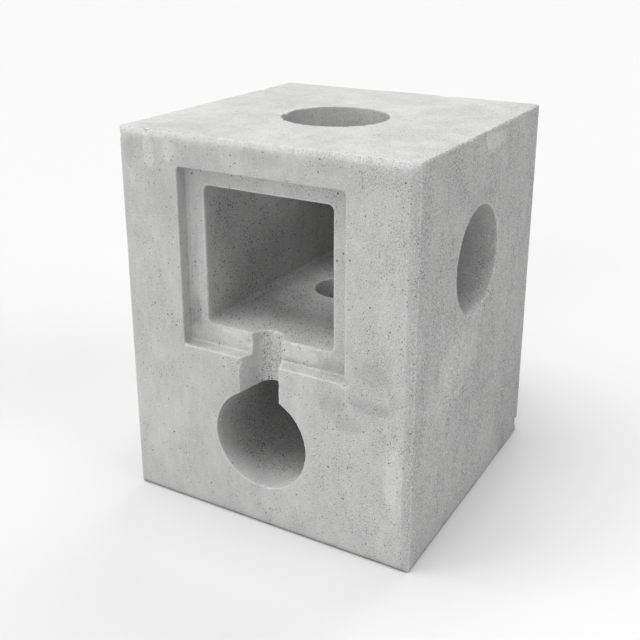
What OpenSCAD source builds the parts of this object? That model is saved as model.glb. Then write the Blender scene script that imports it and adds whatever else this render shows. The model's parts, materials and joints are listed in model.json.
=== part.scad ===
// Precast concrete foundation block for a lighting column.
// It stands on its end here: the face with the hatch and the pole socket looks to the front (-Y).
// Laid in the ground, that face looks up. The origin is the middle of the underside.

/* [Block] */
// Width of the block, along X
block_w = 406; // [380:5:520]
// Depth of the block, along Y, which is its height in the ground
block_d = 404; // [340:5:520]
// Height of the block as it stands, along Z
block_h = 500; // [470:5:640]
// How far the rounding of the front edges runs across the front face
front_round = 10.5; // [4:0.5:14]
// Radius of the two upright back edges
back_edge_r = 10; // [4:1:30]
// Radius of the remaining arrises
arris_r = 3; // [1:0.5:6]

/* [Hatch and chamber] */
// Clear width and height of the square chamber
chamber_w = 178.5; // [150:0.5:190]
// Height of the chamber floor above the underside
chamber_floor_z = 255; // [235:0.5:265]
// Radius along the chamber's corners
chamber_r = 6; // [2:0.5:15]
// Thickness of the closed wall behind the chamber and the pole socket
back_wall = 49; // [30:1:70]
// Depth of the rebate that the lid lies in
rebate_d = 19; // [12:0.5:30]
// Width of the lid's ledge on each side of the chamber
ledge_side = 25.5; // [15:0.5:32]
// Width of the lid's ledge above the chamber
ledge_above = 24; // [15:1:30]
// Width of the lid's ledge below the chamber
ledge_below = 27.5; // [15:0.5:32]
// Radius in the rebate's corners
rebate_r = 3; // [1:0.5:8]

/* [Pole socket] */
// Diameter of the pole socket
socket_dia = 130; // [100:1:150]
// Height of the socket's axis above the underside
socket_z = 120.5; // [95:0.5:125]
// How far the socket and the cable slot lie to the left of the block's middle
socket_shift = 3; // [0:0.5:5]

/* [Cable slot] */
// Width of the slot at the front face
slot_w = 56; // [40:1:70]
// Depth of the slot
slot_d = 39.5; // [32:0.5:48]
// Inward lean of each slot side for each unit of depth
slot_lean = 0.365; // [0.1:0.005:0.4]

/* [Holes] */
// Diameter of the two conduit holes
conduit_dia = 138; // [90:1:145]
// How far the side conduit hole's axis lies below the middle of the chamber
side_hole_drop = 5; // [0:0.5:8]
// Diameter of the cable passage between chamber and socket
passage_dia = 80; // [40:1:100]
// Distance from the front face to the passage's axis
passage_y = 214; // [150:1:240]

/* [Hidden] */
$fn = 96;

// Extra length by which a cutter runs past the surface that it opens
over = 1;

// The front edges are arcs of 45 degrees: soft on the front face, with a crease on the other
front_arc = 45;
front_arc_r = front_round / sin(front_arc);
front_set_back = front_arc_r * (1 - cos(front_arc));

front_y = -block_d / 2;
hollow_end = block_d - back_wall;
chamber_top_z = chamber_floor_z + chamber_w;
rebate_w = chamber_w + 2 * ledge_side;
rebate_h = chamber_w + ledge_above + ledge_below;
rebate_z = chamber_floor_z - ledge_below;

// Both conduit holes meet the chamber halfway between its ledge and its far end
conduit_y = (rebate_d + hollow_end) / 2;
side_hole_z = chamber_floor_z + chamber_w / 2 - side_hole_drop;

// The slot's round bottom touches both leaning sides
slot_lean_angle = atan(slot_lean);
slot_arc_y = (slot_d - slot_w / 2 * cos(slot_lean_angle)) / (1 - sin(slot_lean_angle));
slot_arc_r = slot_d - slot_arc_y;
slot_arc_steps = 20;

// What an edge of radius r takes off the corner of a profile, which lies at the origin
module round_waste(r) {
    difference() {
        translate([-over, -over]) square(r + over);
        translate([r, r]) circle(r);
    }
}

// What a front edge takes off a profile: x runs across the front face, y goes into the block
module front_waste() {
    difference() {
        translate([-over, -over]) square([front_round + over, front_set_back + over]);
        translate([front_round, front_arc_r]) circle(front_arc_r);
    }
}

// Outline in which the front face lies on y = 0, for a face w wide and edges of radius r behind
module front_outline(w, r) {
    difference() {
        translate([-w / 2, 0]) square([w, block_d]);
        for (side = [0, 1]) mirror([side, 0]) {
            translate([-w / 2, 0]) front_waste();
            translate([-w / 2, block_d]) mirror([0, 1]) round_waste(r);
        }
    }
}

// Square opening with rounded corners, standing on y = 0
module rounded_opening(w, h, r) {
    translate([-w / 2 + r, 0]) square([w - 2 * r, h]);
    translate([-w / 2, r]) square([w, h - 2 * r]);
    for (x = [-1, 1], z = [r, h - r]) translate([x * (w / 2 - r), z]) circle(r);
}

// Cut of a flat shape, drawn as seen from the front, from just outside the front face to a depth
module cut_from_front(depth) {
    translate([0, front_y + depth, 0]) rotate([90, 0, 0]) linear_extrude(depth + over) children();
}

// The uncut block: its plan and its side view meet in mitred roundings at the front corners
module outer_form() {
    intersection() {
        translate([0, front_y, 0]) linear_extrude(block_h) front_outline(block_w, back_edge_r);
        translate([-block_w / 2, front_y, block_h / 2]) rotate([90, 0, 90])
            linear_extrude(block_w) rotate(-90) front_outline(block_h, arris_r);
        translate([0, -front_y, 0]) rotate([90, 0, 0])
            linear_extrude(block_d) rounded_opening(block_w, block_h, arris_r);
    }
}

// Inspection chamber, open to the front
module chamber() {
    cut_from_front(hollow_end)
        translate([0, chamber_floor_z]) rounded_opening(chamber_w, chamber_w, chamber_r);
}

// Rebate around the chamber's mouth, in which the lid lies flush
module lid_rebate() {
    cut_from_front(rebate_d)
        translate([0, rebate_z]) rounded_opening(rebate_w, rebate_h, rebate_r);
}

// Blind socket for the pole
module pole_socket() {
    translate([-socket_shift, front_y - over, socket_z]) rotate([-90, 0, 0])
        cylinder(d = socket_dia, h = hollow_end + over);
}

// Slot in the front face that joins the chamber to the socket: leaning sides, round bottom
module cable_slot() {
    wide = slot_w / 2 + over * slot_lean;
    turn = 180 - 2 * slot_lean_angle;
    bottom = [for (i = [0:slot_arc_steps])
        let (a = slot_lean_angle + turn * i / slot_arc_steps)
        [slot_arc_r * cos(a), slot_arc_y + slot_arc_r * sin(a)]];
    translate([-socket_shift, front_y, socket_z]) linear_extrude(chamber_floor_z - socket_z + over)
        polygon(concat([[-wide, -over], [wide, -over]], bottom));
}

// Cable passage through the chamber floor into the socket
module cable_passage() {
    translate([0, front_y + passage_y, socket_z])
        cylinder(d = passage_dia, h = chamber_floor_z - socket_z + over);
}

// Conduit hole through the top wall into the chamber
module top_conduit_hole() {
    translate([0, front_y + conduit_y, chamber_top_z - over])
        cylinder(d = conduit_dia, h = block_h - chamber_top_z + 2 * over);
}

// Conduit hole through the right-hand wall into the chamber
module side_conduit_hole() {
    translate([chamber_w / 2 - over, front_y + conduit_y, side_hole_z]) rotate([0, 90, 0])
        cylinder(d = conduit_dia, h = (block_w - chamber_w) / 2 + 2 * over);
}

module base_block() {
    color([0.74, 0.74, 0.73]) difference() {
        outer_form();
        chamber();
        lid_rebate();
        pole_socket();
        cable_slot();
        cable_passage();
        top_conduit_hole();
        side_conduit_hole();
    }
}

base_block();
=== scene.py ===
"""Looks of a precast concrete base block for a lighting column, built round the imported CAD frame.

The block is one casting, so one closed mesh stands for it: the CAD solid is remeshed finely, worn
and chipped, thinned to its triangle budget, and then given its mould seam and its air holes.
Everything is in metres and in the frame of the CAD model: +Z up, the hatch face towards -Y and
the side conduit hole towards +X.
"""
import json
import math
import random

import bmesh
import bpy
import numpy as np
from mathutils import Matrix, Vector


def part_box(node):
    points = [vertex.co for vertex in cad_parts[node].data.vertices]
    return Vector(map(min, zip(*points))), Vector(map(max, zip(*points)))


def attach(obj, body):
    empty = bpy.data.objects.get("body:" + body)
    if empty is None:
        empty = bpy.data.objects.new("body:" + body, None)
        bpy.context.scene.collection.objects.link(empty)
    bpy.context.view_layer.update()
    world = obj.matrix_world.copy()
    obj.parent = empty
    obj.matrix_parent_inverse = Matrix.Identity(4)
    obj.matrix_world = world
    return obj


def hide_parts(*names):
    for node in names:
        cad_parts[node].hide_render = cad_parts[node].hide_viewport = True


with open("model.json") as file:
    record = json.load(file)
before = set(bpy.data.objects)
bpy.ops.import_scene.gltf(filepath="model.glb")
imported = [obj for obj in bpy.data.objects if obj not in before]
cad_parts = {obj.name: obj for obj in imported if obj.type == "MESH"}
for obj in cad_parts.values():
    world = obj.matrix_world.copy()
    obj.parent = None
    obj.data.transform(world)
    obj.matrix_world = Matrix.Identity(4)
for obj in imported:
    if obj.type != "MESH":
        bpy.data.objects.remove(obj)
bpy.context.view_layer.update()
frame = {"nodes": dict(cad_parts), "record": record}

MM = 0.001
NODE = "base_block"

# Block, read from the frame
LOW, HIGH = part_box(NODE)
RECORD = frame["record"]
MOUNTS = {mount["name"]: mount for mount in RECORD["mounts"]}
OPENINGS = {opening["name"]: opening["box_m"] for opening in RECORD["physics"]["openings"]}
FRONT_Y = LOW.y
RIGHT_X = HIGH.x
TOP_Z = HIGH.z

# Lid ledge round the chamber's mouth
LEDGE_Y = MOUNTS["lid_seat"]["pos_m"][1]
CHAMBER_LOW_Z = OPENINGS["chamber"][0][2]

# The front edges' rounding, and the mould seam where it meets the neighbouring faces
FRONT_ROUND = 10.5 * MM
SEAM_Y = FRONT_Y + 4.35 * MM


# ---------------------------------------------------------------- noise and averages

def lattice(x, y, z, seed):
    """A value from 0 to 1 at each point of a whole-number lattice, always the same for one seed."""
    mixed = (x * 374761393 + y * 668265263 + z * 1440662683 + seed * 1274126177) & 0xFFFFFFFF
    mixed = ((mixed ^ (mixed >> 13)) * 1103515245) & 0xFFFFFFFF
    mixed = ((mixed ^ (mixed >> 15)) * 12820163) & 0xFFFFFFFF
    return ((mixed ^ (mixed >> 16)) & 0xFFFFFF) / 0xFFFFFF


def noise(points, size, seed):
    """Smooth noise from -1 to 1 with lumps about `size` metres across."""
    scaled = points / size
    corner = np.floor(scaled).astype(np.int64)
    part = scaled - corner
    part = part * part * (3 - 2 * part)
    total = np.zeros(len(points))
    for dx in (0, 1):
        for dy in (0, 1):
            for dz in (0, 1):
                weight = np.where(dx, part[:, 0], 1 - part[:, 0])
                weight = weight * np.where(dy, part[:, 1], 1 - part[:, 1])
                weight = weight * np.where(dz, part[:, 2], 1 - part[:, 2])
                total += weight * lattice(corner[:, 0] + dx, corner[:, 1] + dy, corner[:, 2] + dz, seed)
    return 2 * total - 1


def smoothstep(value, start, end):
    """0 before start and 1 after end, with a soft change between them."""
    t = np.clip((value - start) / (end - start), 0, 1)
    return t * t * (3 - 2 * t)


def averaged(values, edges, passes):
    """Each vertex's values averaged with those of its neighbours, several times over."""
    neighbours = np.bincount(edges.ravel(), minlength=len(values))[:, None]
    for _ in range(passes):
        total = np.empty_like(values)
        for column in range(values.shape[1]):
            forward = np.bincount(edges[:, 0], values[edges[:, 1], column], len(values))
            backward = np.bincount(edges[:, 1], values[edges[:, 0], column], len(values))
            total[:, column] = forward + backward
        values = (values + total / neighbours) / 2
    return values


# ---------------------------------------------------------------- mesh data in and out

def vertex_array(mesh, name):
    values = np.empty(len(mesh.vertices) * 3)
    mesh.vertices.foreach_get(name, values)
    return values.reshape(-1, 3)


def edge_array(mesh):
    pairs = np.empty(len(mesh.edges) * 2, np.int32)
    mesh.edges.foreach_get("vertices", pairs)
    return pairs.reshape(-1, 2).astype(np.int64)


def write_vertices(mesh, points):
    mesh.vertices.foreach_set("co", points.ravel())
    mesh.update()


def apply_modifiers(piece):
    """Puts the result of a piece's modifiers in its mesh, and takes the modifiers off."""
    graph = bpy.context.evaluated_depsgraph_get()
    result = bpy.data.meshes.new_from_object(piece.evaluated_get(graph))
    old = piece.data
    piece.modifiers.clear()
    piece.data = result
    bpy.data.meshes.remove(old)


# ---------------------------------------------------------------- the block's shape

# Mesh
VOXEL = 1.85 * MM
THINNED_TRIANGLES = 124000
SHARP_ANGLE = math.radians(33)

# Mould seam: a groove round the outside, strongest along the left half of the top. ON_SEAM is how near
# its middle line a vertex lies that is on it, and SEAM_REACH how near the outside.
ON_SEAM = 0.02 * MM
SEAM_HALF_WIDTH = 0.8 * MM
SEAM_DEPTH = 1.0 * MM
SEAM_SWAY = 0.35 * MM
SEAM_REACH = 2.5 * MM
SEAM_SHARE_ELSEWHERE = 0.25
SEAM_FADE_X = (-90 * MM, 30 * MM)

# Air holes. Depth and taper are in radii of the hole. Most holes are near the smallest radius.
# Each lies on flat ground, where no edge turns more than FLAT_TURN degrees.
HOLE_COUNT = 3000
HOLE_SEED = 7
SMALLEST_RADIUS_MM = 0.45
ADDED_RADIUS_MM = 0.85
SMALL_HOLE_POWER = 2.2
HOLE_SIZE_STEPS = 6
HOLE_DEPTH = (1.0, 1.9)
HOLE_TAPER = 0.32
FLAT_TURN = 20
SHORTEST_EDGE = 1.7 * MM
SHARE_OF_EDGE = 0.45

# Worn arrises: how far averaging moves a sharp one, and the wear of one in millimetres
AVERAGING_PASSES = 5
SHARP_SHIFT = 0.9 * MM
LEAST_WEAR_MM = 0.08
CRUMB_WEAR_MM = 1.1

# Chips: centre, reach and depth, in millimetres
CHIPS = (
    # rim of the top conduit hole, on its left
    ((-66, -42, 500), 10, 3.0),
    ((-57, -57, 500), 8, 2.2),
    ((-70, -26, 500), 8, 2.4),
    ((-46, -68, 500), 6, 1.4),
    # lower rim of the side conduit hole
    ((203, -48, 283), 7, 2.0),
    ((203, -22, 271), 8, 2.4),
    ((203, 6, 272), 7, 2.0),
    ((203, 28, 281), 6, 1.6),
    ((203, -80, 350), 6, 1.4),
    # lower back corner on the right
    ((203, 194, 12), 13, 4.5),
    ((198, 202, 30), 10, 3.2),
    ((203, 178, 0), 9, 3.0),
    # mouth of the cable slot and the rebate's corners
    ((-31, -202, 219), 5, 1.6),
    ((26, -202, 200), 5, 1.4),
    ((115, -202, 228), 7, 2.0),
    ((-115, -202, 226), 5, 1.3),
    ((-29, -183, 241), 5, 1.6),
    # upper left corner of the front face
    ((-203, -197, 487), 7, 1.6),
    ((-158, -202, 497), 7, 1.2),
    # guesses: edges of the hidden sides, and last two small ones on the top right edge
    ((-203, 120, 500), 9, 2.6),
    ((-203, 195, 210), 9, 2.4),
    ((60, 202, 500), 10, 2.8),
    ((-120, 202, 0), 11, 3.2),
    ((-203, -80, 0), 9, 2.6),
    ((203, 60, 500), 5, 1.4),
    ((203, -60, 500), 5, 1.2),
)

# Patches of smooth cement skin on the ledge under the chamber: centre and half size, in mm
SKIN_PATCHES = (
    ((-50, 240), (27, 12)),
    ((45, 242), (27, 12)),
)
SKIN_STEP = 0.8 * MM


def remeshed_copy(node):
    """A closed, even mesh of the CAD node's shape, in a new object."""
    block = bpy.data.objects.new("concrete_block", node.data.copy())
    bpy.context.scene.collection.objects.link(block)
    remesh = block.modifiers.new("remesh", "REMESH")
    remesh.mode = "VOXEL"
    remesh.voxel_size = VOXEL
    apply_modifiers(block)
    return block


def arris_wear(points, normals, edges):
    """How far worn arrises lie under the sharp edges of the CAD shape."""
    inward = ((points - averaged(points, edges, AVERAGING_PASSES)) * normals).sum(1)
    arris = np.clip(inward / SHARP_SHIFT, 0, 1)
    crumb = np.clip(noise(points, 5 * MM, 11) + 0.6 * noise(points, 13 * MM, 12), 0, 1)
    return arris * (LEAST_WEAR_MM + CRUMB_WEAR_MM * crumb ** 2) * MM


def undulation(points):
    """The slight waves of a face cast against a mould."""
    broad = 0.28 * noise(points, 85 * MM, 1)
    middle = 0.12 * noise(points, 26 * MM, 2)
    fine = 0.07 * noise(points, 7 * MM, 3)
    return (0.4 + broad + middle + fine) * MM


def chip_depth(points):
    """Depth of the chips that the block has lost from its rims and corners."""
    depth = np.zeros(len(points))
    for centre, reach, deepest in CHIPS:
        away = np.linalg.norm(points - np.array(centre) * MM, axis=1) / (reach * MM)
        near = away < 1.6
        ragged = away[near] + 0.35 * noise(points[near], 4 * MM, 21) + 0.2 * noise(points[near], 9 * MM, 22)
        depth[near] = np.maximum(depth[near], deepest * MM * smoothstep(ragged, 1.05, 0.35))
    return depth


def on_ledge(points, normals):
    """True on the lid's ledge, which looks to the front."""
    return (np.abs(points[:, 1] - LEDGE_Y) < 1.2 * MM) & (normals[:, 1] < -0.8)


def skin_loss(points, normals):
    """Depth of the ledge where its smooth skin has come off with the mould."""
    kept = np.zeros(len(points))
    for (x, z), (half_x, half_z) in SKIN_PATCHES:
        across = np.abs(points[:, 0] - x * MM) / (half_x * MM)
        up = np.abs(points[:, 2] - z * MM) / (half_z * MM)
        inside = np.maximum(across, up) + 0.16 * noise(points, 9 * MM, 31)
        kept = np.maximum(kept, smoothstep(inside, 1.05, 0.9))
    below_chamber = points[:, 2] < CHAMBER_LOW_Z
    return np.where(on_ledge(points, normals) & below_chamber, (1 - kept) * SKIN_STEP, 0)


def wear(mesh):
    """Moves the surface inward by all that time and casting have taken off it."""
    points = vertex_array(mesh, "co")
    normals = vertex_array(mesh, "normal")
    edges = edge_array(mesh)
    depth = undulation(points) + arris_wear(points, normals, edges)
    depth += chip_depth(points) + skin_loss(points, normals)
    write_vertices(mesh, points - normals * depth[:, None])


def thin(piece, triangles):
    """Takes triangles out where the surface is plain, down to the number given."""
    mesh = piece.data
    mesh.calc_loop_triangles()
    decimate = piece.modifiers.new("decimate", "DECIMATE")
    decimate.ratio = triangles / len(mesh.loop_triangles)
    decimate.use_collapse_triangulate = True
    apply_modifiers(piece)


def seam_vertices(bm):
    """Cuts the mesh along the seam and gives the vertices of its middle line, on the outside only."""
    for y in (SEAM_Y - SEAM_HALF_WIDTH, SEAM_Y, SEAM_Y + SEAM_HALF_WIDTH):
        everything = bm.verts[:] + bm.edges[:] + bm.faces[:]
        bmesh.ops.bisect_plane(bm, geom=everything, plane_co=(0, y, 0), plane_no=(0, 1, 0))
    line = []
    for vert in bm.verts:
        from_side = RIGHT_X - abs(vert.co.x)
        from_end = min(TOP_Z - vert.co.z, vert.co.z)
        if abs(vert.co.y - SEAM_Y) < ON_SEAM and min(from_side, from_end) < SEAM_REACH:
            line.append(vert)
    return line


def outward(vert):
    """Direction out of the block at a vertex of the seam, square to the Y axis."""
    towards = Vector(vert.normal)
    towards.y = 0
    if towards.length < 1e-6:
        towards = vert.co - Vector((0, vert.co.y, TOP_Z / 2))
    return towards.normalized()


def seam_share(co):
    """How strong the seam is at a place: it fades along the top from left to right."""
    if TOP_Z - co.z < SEAM_REACH:
        return 1.0 - 0.7 * smoothstep(co.x, *SEAM_FADE_X)
    return SEAM_SHARE_ELSEWHERE


def cut_seam(bm):
    """A fine groove round the block where the front rounding meets the neighbouring faces."""
    # The seam layer holds how deep the groove is cut, and by it the material paints shade into the groove.
    layer = bm.verts.layers.float.new("seam")
    line = seam_vertices(bm)
    points = np.array([v.co for v in line])
    open_part = np.clip(0.65 + 0.8 * noise(points, 45 * MM, 41), 0, 1)
    sway = noise(points, 11 * MM, 42)
    for vert, share, side in zip(line, open_part, sway):
        share *= seam_share(vert.co)
        vert.co -= outward(vert) * SEAM_DEPTH * share
        vert.co.y += SEAM_SWAY * side
        vert[layer] = share


def mark_arrises(bm):
    """Notes at each vertex how sharply the surface turns outward there, for the material, which makes these
    arrises paler: partly worn concrete and partly a painted highlight.
    """
    layer = bm.verts.layers.float.new("arris")
    for edge in bm.edges:
        turn = math.degrees(edge.calc_face_angle_signed(0))
        amount = min(max((turn - 9) / 22, 0), 1)
        for vert in edge.verts:
            vert[layer] = max(vert[layer], amount)


def is_flat(vert):
    turns = [math.degrees(edge.calc_face_angle_signed(90)) for edge in vert.link_edges]
    return all(abs(turn) < FLAT_TURN for turn in turns)


def vertices_near(vert):
    """The numbers of a vertex and of all those at most two edges away from it."""
    near = {vert.index}
    for edge in vert.link_edges:
        neighbour = edge.other_vert(vert)
        near.add(neighbour.index)
        near.update(further.other_vert(neighbour).index for further in neighbour.link_edges)
    return near


def hole_density(point, clusters):
    """How common air holes are at a point: most in the chamber and on the right side."""
    inside = abs(point.x) < 0.13 and -0.17 < point.y < 0.17
    if inside:
        density = 1.5
    elif point.x > RIGHT_X - 3 * MM:
        density = 1.25
    elif point.y < FRONT_Y + 3 * MM:
        density = 0.45 + 0.55 * smoothstep(point.x, -0.05, 0.17)
    else:
        density = 0.7
    return density * (0.55 + 0.6 * clusters)


def choose_air_holes(bm, rng):
    """Vertices on flat ground and well apart, each with the radius of its air hole."""
    clusters = noise(np.array([v.co for v in bm.verts]), 38 * MM, 51)
    order = list(range(len(bm.verts)))
    rng.shuffle(order)
    bm.verts.ensure_lookup_table()
    taken = set()
    chosen = []
    for index in order:
        if len(chosen) == HOLE_COUNT:
            break
        vert = bm.verts[index]
        if index in taken or rng.random() > hole_density(vert.co, clusters[index]):
            continue
        shortest = min(edge.calc_length() for edge in vert.link_edges)
        if shortest < SHORTEST_EDGE or not is_flat(vert):
            continue
        radius = SMALLEST_RADIUS_MM + ADDED_RADIUS_MM * rng.random() ** SMALL_HOLE_POWER
        chosen.append((vert, min(radius * MM, SHARE_OF_EDGE * shortest)))
        taken |= vertices_near(vert)
    return chosen


def cut_air_holes(bm, rng):
    """Cuts small round pits with sloping walls, in batches of about the same size."""
    chosen = choose_air_holes(bm, rng)
    chosen.sort(key=lambda item: item[1])
    # The pit layer marks the floors of the holes, where the material paints shade.
    layer = bm.verts.layers.float.new("pit")
    for step in range(HOLE_SIZE_STEPS):
        first = step * len(chosen) // HOLE_SIZE_STEPS
        after = (step + 1) * len(chosen) // HOLE_SIZE_STEPS
        batch = chosen[first:after]
        radius = sum(size for _, size in batch) / len(batch)
        made = bmesh.ops.bevel(
            bm, geom=[vert for vert, _ in batch if vert.is_valid], offset=radius, segments=1,
            affect="VERTICES", clamp_overlap=False,
        )
        mouths = [face for face in made["faces"] if len(face.verts) > 3]
        bmesh.ops.inset_individual(bm, faces=mouths, thickness=HOLE_TAPER * radius, depth=0)
        for face in mouths:
            deep = radius * rng.uniform(*HOLE_DEPTH)
            for vert in face.verts:
                vert[layer] = 1.0
                vert.co -= face.normal * deep


def keep_in_box(mesh):
    """No point of the block may leave the CAD model's box."""
    points = vertex_array(mesh, "co")
    write_vertices(mesh, np.clip(points, np.array(LOW), np.array(HIGH)))


def concrete_block():
    block = remeshed_copy(frame["nodes"][NODE])
    wear(block.data)
    thin(block, THINNED_TRIANGLES)
    bm = bmesh.new()
    bm.from_mesh(block.data)
    mark_arrises(bm)
    cut_seam(bm)
    bmesh.ops.triangulate(bm, faces=bm.faces[:])
    bm.normal_update()
    cut_air_holes(bm, random.Random(HOLE_SEED))
    bmesh.ops.triangulate(bm, faces=bm.faces[:])
    for face in bm.faces:
        face.smooth = True
    bm.to_mesh(block.data)
    bm.free()
    keep_in_box(block.data)
    block.data.set_sharp_from_angle(angle=SHARP_ANGLE)
    return block


# ---------------------------------------------------------------- material

# Mean tone, and blue against red and green: a trace of warmth
ALBEDO = 0.44
BLUE_SHARE = 0.995

# Change of tone on the front's rounded edges. The right one's darkening is partly greyer, dusty concrete
# and partly painted shade of a rounding turned from the lamps.
RIGHT_EDGE_DUST_AND_SHADE = -0.12
TOP_EDGE_TONE = 0.12

# Half of the range over which the sand grains vary in tone
GRAIN_CONTRAST = 0.42

# The box that holds the chamber, most of the socket and the side hole's inner part: its limits along
# X and Y, and the heights between which it fades out at the top
HOLLOWS_X = (-92 * MM, 120 * MM)
HOLLOWS_Y = (-172 * MM, 156 * MM)
HOLLOWS_TOP = (440 * MM, 450 * MM)
HOLLOWS_EDGE = 2 * MM

# Marks that the mesh carries: layer, where its effect starts and is full, and its factor on the tone. The
# paler arrises are partly worn concrete and partly a painted highlight; the darkening in the air holes and
# in the seam's groove is painted shade.
SHAPE_MARKS = (
    # paler arrises: partly wear, partly painted highlight
    ("arris", 0.2, 0.9, 1.12),
    # painted shade in the air holes
    ("pit", 0.0, 1.0, 0.30),
    # painted shade in the mould seam's groove
    ("seam", 0.05, 0.8, 0.45),
)

# Relief that the bump stands for
GRAIN_HEIGHT = 0.45 * MM
BLOT_HEIGHT = 0.35 * MM
DOT_DEPTH = 0.4 * MM

# Marks on the concrete: centre, half size (mm), and lightening (+) or darkening (-). Whether a dark
# one is damp or dirt isn't known. Light and shade come from the lamps, and no mark is meant as either,
# but the strengths are judged. The last four are guesses, on sides that are hidden.
STAINS = (
    ("pale streaks at the upper left", (-156, -202, 471), (9, 9, 20), 0.20),
    ("pale streaks beside them", (-126, -202, 478), (9, 9, 14), 0.14),
    ("dark patch by the upper left corner", (-186, -202, 470), (10, 9, 24), -0.10),
    ("grey patch over the hatch", (2, -202, 483), (34, 9, 12), -0.08),
    ("grey patch right of the hatch's top", (95, -202, 488), (22, 9, 13), -0.08),
    ("dark patch right of the socket, upper", (149, -202, 250), (24, 9, 17), -0.13),
    ("dark patch right of the socket, left", (98, -202, 197), (18, 9, 16), -0.11),
    ("dark patch right of the socket, middle", (149, -202, 206), (26, 9, 9), -0.12),
    ("dark patch right of the socket, lower", (120, -202, 177), (18, 9, 13), -0.13),
    ("pale strip beside the right edge", (180, -202, 124), (11, 9, 52), 0.12),
    ("pale patch on the right side", (203, -68, 218), (9, 62, 42), 0.13),
    ("pale patch below it", (203, -117, 190), (9, 46, 40), 0.08),
    ("dark corner low on the right side", (203, 150, 50), (9, 60, 70), -0.10),
    ("dark vein on the right side", (203, 33, 150), (9, 80, 7), -0.06),
    ("pale stroke high on the right side", (203, 19, 481), (9, 42, 13), 0.22),
    ("grey patch over the side hole", (203, -4, 418), (9, 40, 15), -0.09),
    ("pale skin left of the slot", (-50, -183, 239), (29, 7, 12), 0.10),
    ("pale skin right of the slot", (45, -183, 242), (29, 7, 12), 0.20),
    ("dark stain low on the ledge's left", (-108, -183, 268), (9, 7, 24), -0.22),
    ("dark patch in the ledge's right corner", (90, -183, 234), (18, 8, 13), -0.14),
    ("pale ledge beside the chamber", (-98, -183, 312), (7, 7, 50), 0.10),
    ("darker left end of the rebate's floor", (-100, -192, 227), (24, 8, 6), -0.14),
    ("hidden left side, dark", (-203, 60, 130), (9, 90, 80), -0.09),
    ("hidden left side, pale", (-203, -60, 350), (9, 80, 60), 0.07),
    ("hidden back, dark", (-70, 202, 180), (100, 9, 90), -0.08),
    ("hidden back, pale", (90, 202, 380), (80, 9, 60), 0.07),
)


class Graph:
    """Short ways to add nodes to one material."""

    def __init__(self, material):
        self.tree = material.node_tree

    def node(self, kind, inputs, **settings):
        made = self.tree.nodes.new(kind)
        for name, value in settings.items():
            setattr(made, name, value)
        for key, value in inputs.items():
            if isinstance(value, bpy.types.NodeSocket):
                self.tree.links.new(value, made.inputs[key])
            else:
                made.inputs[key].default_value = value
        return made

    def math(self, operation, *values):
        return self.node("ShaderNodeMath", dict(enumerate(values)), operation=operation).outputs[0]

    def vector(self, operation, *values):
        made = self.node("ShaderNodeVectorMath", dict(enumerate(values)), operation=operation)
        return made.outputs["Value" if operation == "LENGTH" else "Vector"]

    def noise(self, coords, size, detail=2.0, roughness=0.5, distortion=0.0):
        """Noise from 0 to 1 with lumps about `size` metres across."""
        inputs = {"Vector": coords, "Scale": 1 / size, "Detail": detail, "Roughness": roughness,
                  "Distortion": distortion}
        return self.node("ShaderNodeTexNoise", inputs).outputs["Fac"]

    def fade(self, value, start, end, low=0.0, high=1.0):
        """low before start and high after end, with a soft change between them."""
        inputs = {"Value": value, "From Min": start, "From Max": end, "To Min": low, "To Max": high}
        return self.node("ShaderNodeMapRange", inputs, interpolation_type="SMOOTHSTEP").outputs["Result"]

    def attribute(self, name):
        return self.node("ShaderNodeAttribute", {}, attribute_name=name).outputs["Fac"]


def dots(graph, coords, spacing, radius, share, shift):
    """Round spots at random places: 1 in a spot. share is the part of the cells that hold one."""
    moved = graph.vector("ADD", coords, (shift, shift * 0.7, shift * 1.3))
    cells = graph.node("ShaderNodeTexVoronoi", {"Vector": moved, "Scale": 1 / spacing})
    channel = graph.node("ShaderNodeSeparateColor", {"Color": cells.outputs["Color"]})
    held = graph.math("LESS_THAN", channel.outputs[0], share)
    reach = graph.math("MULTIPLY", graph.math("ADD", channel.outputs[1], 0.6), radius / spacing)
    spot = graph.math("LESS_THAN", cells.outputs["Distance"], reach)
    return graph.math("MULTIPLY", held, spot)


def stain_factor(graph, coords, ragged):
    """The product of all stains, as a factor on the concrete's tone."""
    factor = 1.0
    for _, centre, half_size, strength in STAINS:
        away = graph.vector("SUBTRACT", coords, tuple(c * MM for c in centre))
        scaled = graph.vector("DIVIDE", away, tuple(h * MM for h in half_size))
        reach = graph.math("ADD", graph.vector("LENGTH", scaled), ragged)
        mask = graph.fade(reach, 1.25, 0.55, 1.0, 1.0 + strength)
        factor = graph.math("MULTIPLY", mask, factor)
    return factor


def between(graph, value, start, end, soft):
    """1 where the value lies between start and end, 0 elsewhere."""
    up = graph.fade(value, start - soft, start + soft)
    down = graph.fade(value, end - soft, end + soft, 1.0, 0.0)
    return graph.math("MULTIPLY", up, down)


def sandiness(graph, place, clouds):
    """How sandy and pitted the concrete is, most on the right and in the hollows, and a mask of these."""
    rightward = graph.fade(place["X"], -20 * MM, 190 * MM, 0.42, 0.72)
    on_right = graph.fade(place["X"], RIGHT_X - 6 * MM, RIGHT_X - 3 * MM, 0.0, 0.3)
    rightward = graph.math("ADD", rightward, on_right)
    inside_x = between(graph, place["X"], *HOLLOWS_X, HOLLOWS_EDGE)
    inside_y = between(graph, place["Y"], *HOLLOWS_Y, HOLLOWS_EDGE)
    inside = graph.math("MULTIPLY", inside_x, inside_y)
    inside = graph.math("MULTIPLY", inside, graph.fade(place["Z"], *HOLLOWS_TOP, 1.0, 0.0))
    most = graph.math("MAXIMUM", rightward, inside)
    return graph.math("MULTIPLY", most, graph.fade(clouds, 0.3, 0.65, 1.25, 0.6)), inside


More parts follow.
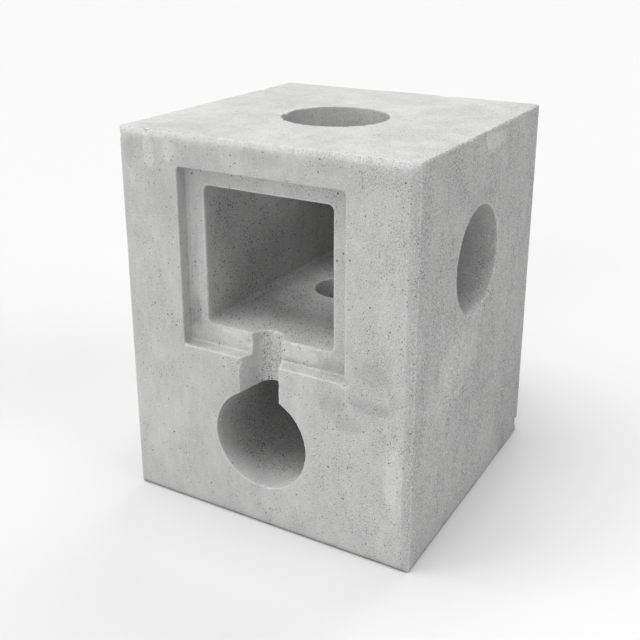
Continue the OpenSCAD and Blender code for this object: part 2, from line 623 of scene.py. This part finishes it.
def edge_bands(graph, place, ragged):
    """Tone of the front's rounded edges: greyer at the right, partly dust and partly painted shade, and
    paler along the top.
    """
    on_round = graph.fade(place["Y"], SEAM_Y - 0.6 * MM, SEAM_Y + 0.1 * MM, 1.0, 0.0)
    across = graph.math("MULTIPLY", ragged, 3.0 * MM)
    shifted_x = graph.math("ADD", place["X"], across)
    shifted_z = graph.math("ADD", place["Z"], across)
    start = RIGHT_X - FRONT_ROUND
    right = graph.fade(shifted_x, start - 1.5 * MM, start + 1.5 * MM)
    right = graph.math("MULTIPLY", right, on_round)
    low_z = TOP_Z - 1.6 * FRONT_ROUND
    high_z = TOP_Z - 0.5 * FRONT_ROUND
    top = graph.fade(shifted_z, low_z, high_z, 0.0, TOP_EDGE_TONE)
    top = graph.math("MULTIPLY", top, on_round)
    # the right rounding's grey: partly dust, partly painted shade
    change = graph.math("ADD", graph.math("MULTIPLY", right, RIGHT_EDGE_DUST_AND_SHADE), top)
    return graph.math("ADD", change, 1.0)


def ground_tone(graph, coords, patterns, coarse):
    """Tone of the bare concrete, about 1: broad, middling and small clouds, and the sand."""
    broad = graph.noise(coords, 130 * MM, 2.0)
    tone = graph.fade(broad, 0.25, 0.75, 0.95, 1.05)
    tone = graph.math("MULTIPLY", tone, graph.fade(patterns["clouds"], 0.25, 0.75, 0.92, 1.08))
    tone = graph.math("MULTIPLY", tone, graph.fade(patterns["blots"], 0.25, 0.75, 0.955, 1.045))
    speckle = graph.fade(patterns["grain"], 0.2, 0.8, -GRAIN_CONTRAST, GRAIN_CONTRAST)
    speckle = graph.math("MULTIPLY", speckle, coarse)
    return graph.math("MULTIPLY", tone, graph.math("ADD", speckle, 1.0))


def dotted(graph, coords, tone, coarse, inside):
    """The tone with dark pinholes and pale grains in it, and the pinholes alone."""
    few = graph.math("MULTIPLY", coarse, 0.72)
    many = graph.math("MULTIPLY", inside, 0.8)
    small_dots = dots(graph, coords, 3.2 * MM, 0.46 * MM, few, 0.0)
    large_dots = dots(graph, coords, 6.5 * MM, 0.68 * MM, few, 1.7)
    pale_dots = dots(graph, coords, 5.5 * MM, 0.7 * MM, 0.3, 3.1)
    inner_dots = dots(graph, coords, 4.6 * MM, 0.72 * MM, many, 5.3)
    large_dots = graph.math("MAXIMUM", inner_dots, large_dots)
    for mask, factor in ((small_dots, 0.42), (large_dots, 0.22), (pale_dots, 1.14)):
        tone = graph.math("MULTIPLY", tone, graph.fade(mask, 0, 1, 1.0, factor))
    return tone, graph.math("MAXIMUM", small_dots, large_dots)


def marked_by_shape(graph, tone):
    """The tone made paler on arrises, partly as wear and partly as a painted highlight, and darker in air
    holes and in the mould seam's groove, as painted shade.
    """
    for layer, start, full, factor in SHAPE_MARKS:
        change = graph.fade(graph.attribute(layer), start, full, 1.0, factor)
        tone = graph.math("MULTIPLY", tone, change)
    return tone


def bump_normal(graph, patterns, coarse, dark_dots):
    """The relief that is too fine for the mesh."""
    height = graph.math("MULTIPLY", graph.math("MULTIPLY", patterns["grain"], coarse), GRAIN_HEIGHT)
    height = graph.math("ADD", height, graph.math("MULTIPLY", patterns["blots"], BLOT_HEIGHT))
    height = graph.math("SUBTRACT", height, graph.math("MULTIPLY", dark_dots, DOT_DEPTH))
    bump = graph.node("ShaderNodeBump", {"Strength": 1.0, "Distance": 1.0, "Height": height})
    return bump.outputs["Normal"]


def concrete_material():
    material = bpy.data.materials.new("cast_concrete")
    material.use_nodes = True
    graph = Graph(material)
    shader = material.node_tree.nodes["Principled BSDF"]
    coords = graph.node("ShaderNodeTexCoord", {}).outputs["Object"]
    place = graph.node("ShaderNodeSeparateXYZ", {"Vector": coords}).outputs
    upright = graph.vector("MULTIPLY", coords, (1.0, 1.0, 0.45))
    patterns = {
        "clouds": graph.noise(upright, 34 * MM, 4.0, 0.62, 0.3),
        "blots": graph.noise(upright, 8 * MM, 3.0, 0.6),
        "grain": graph.noise(coords, 1.9 * MM, 2.0, 0.7),
    }
    ragged = graph.math("MULTIPLY_ADD", graph.noise(coords, 16 * MM, 3.0, 0.6), 1.3, -0.65)
    coarse, inside = sandiness(graph, place, patterns["clouds"])

    tone = ground_tone(graph, coords, patterns, coarse)
    tone = graph.math("MULTIPLY", tone, stain_factor(graph, coords, ragged))
    tone = graph.math("MULTIPLY", tone, edge_bands(graph, place, ragged))
    tone, dark_dots = dotted(graph, coords, tone, coarse, inside)
    tone = marked_by_shape(graph, tone)

    albedo = graph.math("MULTIPLY", tone, ALBEDO)
    blue = graph.math("MULTIPLY", albedo, BLUE_SHARE)
    colour = graph.node("ShaderNodeCombineColor", {0: albedo, 1: albedo, 2: blue}).outputs[0]
    roughness = graph.fade(patterns["clouds"], 0.3, 0.7, 0.82, 0.94)
    normal = bump_normal(graph, patterns, coarse, dark_dots)
    material.node_tree.links.new(colour, shader.inputs["Base Color"])
    material.node_tree.links.new(roughness, shader.inputs["Roughness"])
    material.node_tree.links.new(normal, shader.inputs["Normal"])
    shader.inputs["Specular IOR Level"].default_value = 0.25
    return material


def floor_material():
    material = bpy.data.materials.new("pale_floor")
    material.use_nodes = True
    shader = material.node_tree.nodes["Principled BSDF"]
    shader.inputs["Base Color"].default_value = (FLOOR_ALBEDO, FLOOR_ALBEDO, FLOOR_ALBEDO, 1)
    shader.inputs["Roughness"].default_value = 0.9
    shader.inputs["Specular IOR Level"].default_value = 0.1
    return material


# ---------------------------------------------------------------- stage, light and camera

FLOOR_ALBEDO = 0.59
FLOOR_HALF_SIZE = 60.0
# How far the floor lies under the block
FLOOR_GAP = 0.2 * MM

# Large soft lamps of the studio: name, azimuth, elevation and strength
SUNS = (
    ("overhead", -45, 80, 2.55),
    ("left", -60, 35, 0.85),
    ("low_front", 0, 12, 1.15),
    ("behind", 180, 50, 1.10),
    ("high_front", 20, 58, 0.38),
    ("right", 90, 35, 0.95),
)
# Angle in degrees over which each lamp's light is spread, and the strength of the even sky
LAMP_SPREAD = 40
SKY_STRENGTH = 0.06

CAMERA_PLACE = (0.5769, -1.0621, 0.7217)
CAMERA_AZIMUTH = 29.75
CAMERA_ELEVATION = 18.13
CAMERA_LENS = 52.75
CAMERA_SHIFT = (-0.0019, -0.1234)


def floor():
    half = FLOOR_HALF_SIZE
    mesh = bpy.data.meshes.new("floor")
    corners = [(-half, -half, 0), (half, -half, 0), (half, half, 0), (-half, half, 0)]
    mesh.from_pydata(corners, [], [(0, 1, 2, 3)])
    piece = bpy.data.objects.new("floor", mesh)
    piece.location.z = LOW.z - FLOOR_GAP
    bpy.context.scene.collection.objects.link(piece)
    mesh.materials.append(floor_material())


def direction(azimuth, elevation):
    """Unit vector towards a place in the sky. Azimuth 0 is the front (-Y), 90 the right (+X)."""
    a, e = math.radians(azimuth), math.radians(elevation)
    return Vector((math.sin(a) * math.cos(e), -math.cos(a) * math.cos(e), math.sin(e)))


def soft_sun(name, azimuth, elevation, strength):
    data = bpy.data.lights.new(name, "SUN")
    data.energy = strength
    data.angle = math.radians(LAMP_SPREAD)
    light = bpy.data.objects.new(name, data)
    light.rotation_euler = direction(azimuth, elevation).to_track_quat("Z", "Y").to_euler()
    bpy.context.scene.collection.objects.link(light)


def studio_light():
    world = bpy.data.worlds.new("studio")
    world.use_nodes = True
    bpy.context.scene.world = world
    background = world.node_tree.nodes["Background"]
    background.inputs["Color"].default_value = (1, 1, 1, 1)
    background.inputs["Strength"].default_value = SKY_STRENGTH
    for sun in SUNS:
        soft_sun(*sun)


def camera():
    data = bpy.data.cameras.new("camera")
    data.sensor_width = 36
    data.lens = CAMERA_LENS
    data.shift_x, data.shift_y = CAMERA_SHIFT
    piece = bpy.data.objects.new("camera", data)
    piece.location = CAMERA_PLACE
    backward = direction(CAMERA_AZIMUTH, CAMERA_ELEVATION)
    piece.rotation_euler = backward.to_track_quat("Z", "Y").to_euler()
    bpy.context.scene.collection.objects.link(piece)
    bpy.context.scene.camera = piece


bpy.context.scene.view_settings.view_transform = "Standard"
camera()
studio_light()
floor()

block = concrete_block()
block.data.materials.clear()
block.data.materials.append(concrete_material())
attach(block, "root")
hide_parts(NODE)
